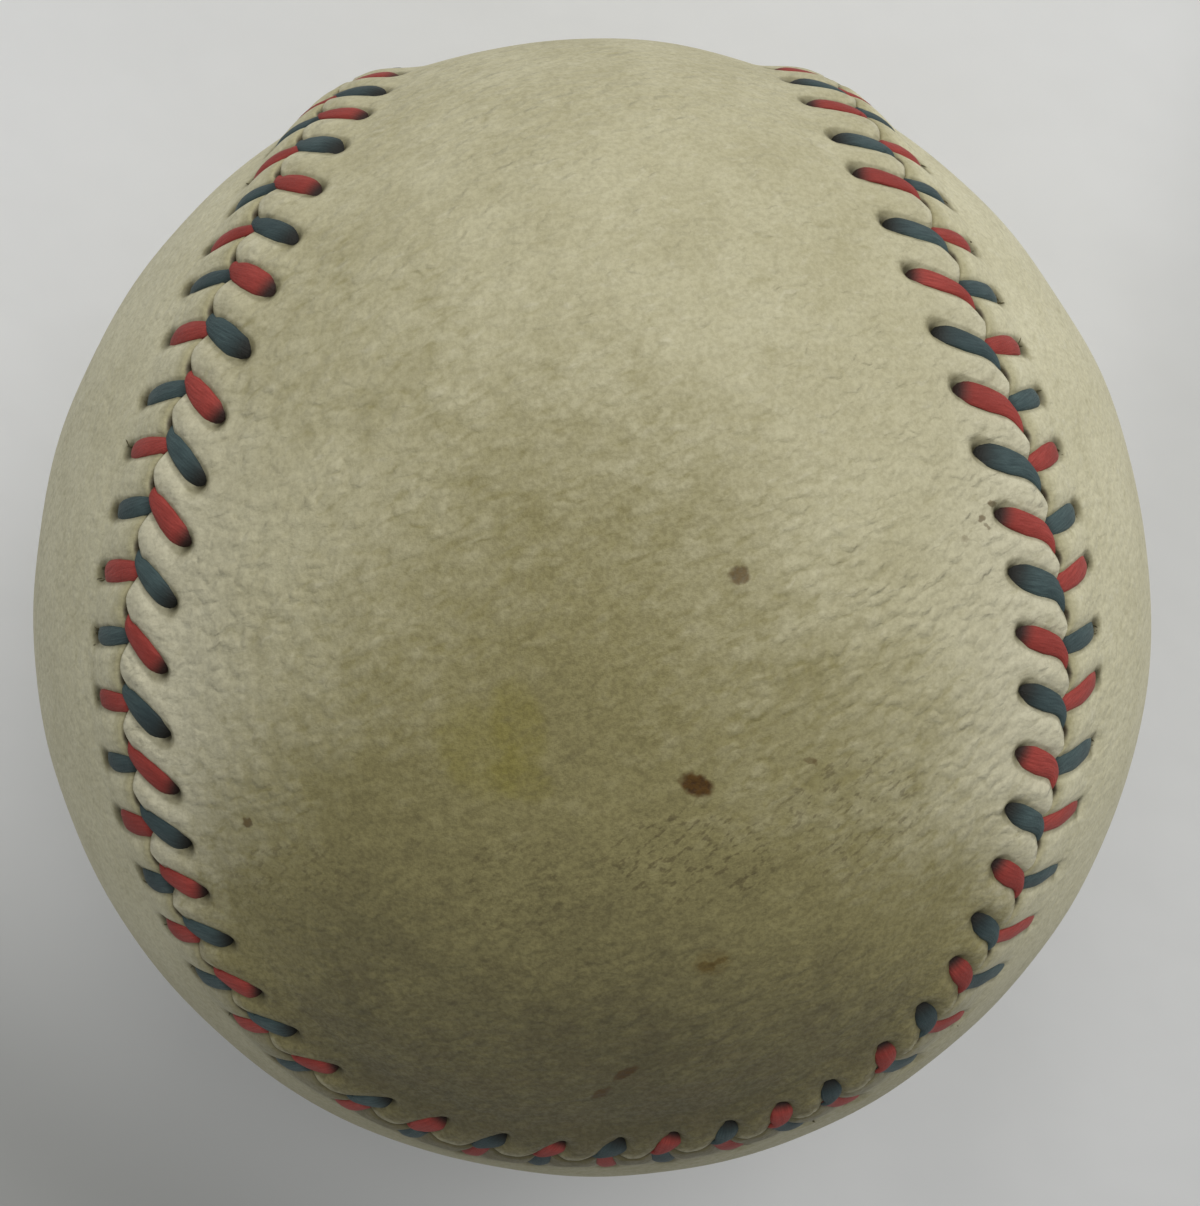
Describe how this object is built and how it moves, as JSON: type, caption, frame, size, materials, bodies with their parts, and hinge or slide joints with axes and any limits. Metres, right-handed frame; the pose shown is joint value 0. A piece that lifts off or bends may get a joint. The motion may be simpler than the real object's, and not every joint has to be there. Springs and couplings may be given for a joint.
{
  "type": "baseball",
  "caption": "Worn leather baseball with interlocking cover panels sewn in red and blue thread over wound wool and cotton and a cushioned cork centre.",
  "frame": {"origin": "centre of the ball", "axes": "+Z through the middle of one round lobe of panel A, the lobe that faces the camera in the picture; +X through the middle of a lobe of panel B; +Y through the waist of panel A, with the waist of panel B at -Y"},
  "size_m": [0.0738, 0.0738, 0.0738],
  "materials": {
    "leather": "aged cream leather with a fine pebble grain, soiled grey and brown by use",
    "red_thread": "waxed cotton thread, faded red",
    "blue_thread": "waxed cotton thread, faded blue",
    "cotton": "fine cotton set in a thin film of cement",
    "grey_wool": "wound wool yarn",
    "white_wool": "wound wool yarn",
    "red_rubber": "moulded",
    "black_rubber": "moulded",
    "cork": "cork granules bound with rubber"
  },
  "bodies": {
    "root": {"cork_core": "cork", "lower_rubber_shell": "black_rubber", "upper_rubber_shell": "black_rubber", "rubber_gasket": "red_rubber", "red_rubber_skin": "red_rubber", "inner_grey_winding": "grey_wool", "white_winding": "white_wool", "outer_grey_winding": "grey_wool", "cotton_winding": "cotton", "cover_panel_a": "leather", "cover_panel_b": "leather", "red_thread": "red_thread", "blue_thread": "blue_thread"}
  },
  "joints": []
}
